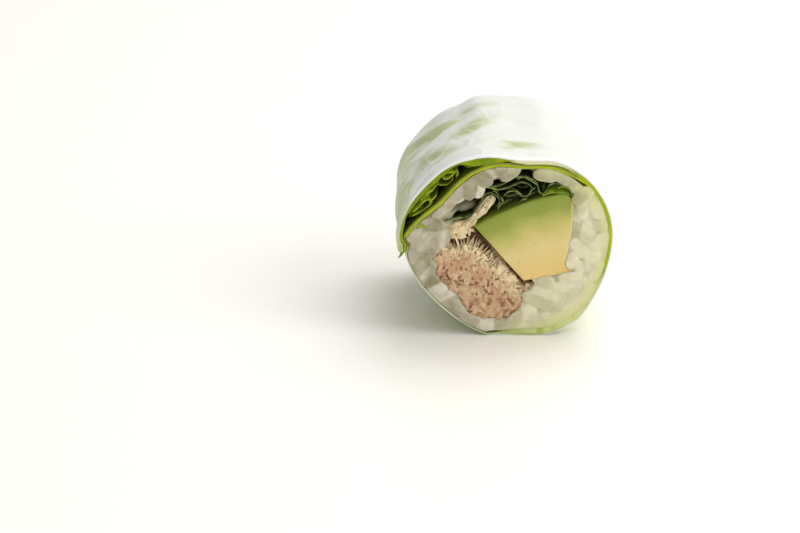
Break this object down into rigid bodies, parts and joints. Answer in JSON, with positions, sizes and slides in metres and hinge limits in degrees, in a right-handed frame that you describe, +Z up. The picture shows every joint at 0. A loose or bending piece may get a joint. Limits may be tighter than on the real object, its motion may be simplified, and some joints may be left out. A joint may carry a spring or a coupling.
{
  "type": "sliced rice paper roll",
  "caption": "Short slice of a filled rice paper roll lying on its wrapper, with rice, tuna, avocado and leaves showing at the cut faces.",
  "frame": {"origin": "on the surface the slice rests on, under the middle of its bounding box", "axes": "+Z up, Y along the roll's own axis with one cut face towards -Y and the other towards +Y, X across the roll"},
  "size_m": [0.0537, 0.045, 0.0483],
  "materials": {
    "rice_paper": "soaked rice paper: thin, milky, half see-through and moist",
    "lettuce": "fresh lettuce blade with pale ribs and a bright wet cut edge",
    "folded_lettuce": "folded dark green lettuce, soft sheen",
    "rice": "cooked short rice grains, pearly and slightly sticky",
    "avocado": "ripe avocado flesh, butter yellow turning green at the skin side, smooth from the knife",
    "tuna": "flaked cooked tuna, fibrous and dull",
    "herb": "thin dark green salad leaf"
  },
  "bodies": {
    "root": {"rice_paper": "rice_paper", "lettuce_leaf": "lettuce", "lettuce_inner": "lettuce", "lettuce_fold": "folded_lettuce", "lettuce_scrap": "folded_lettuce", "rice": "rice", "avocado": "avocado", "tuna": "tuna", "herb_leaf_top": "herb", "herb_leaf_middle": "herb", "herb_leaf_low": "herb", "herb_leaf_loop": "herb"}
  },
  "joints": []
}
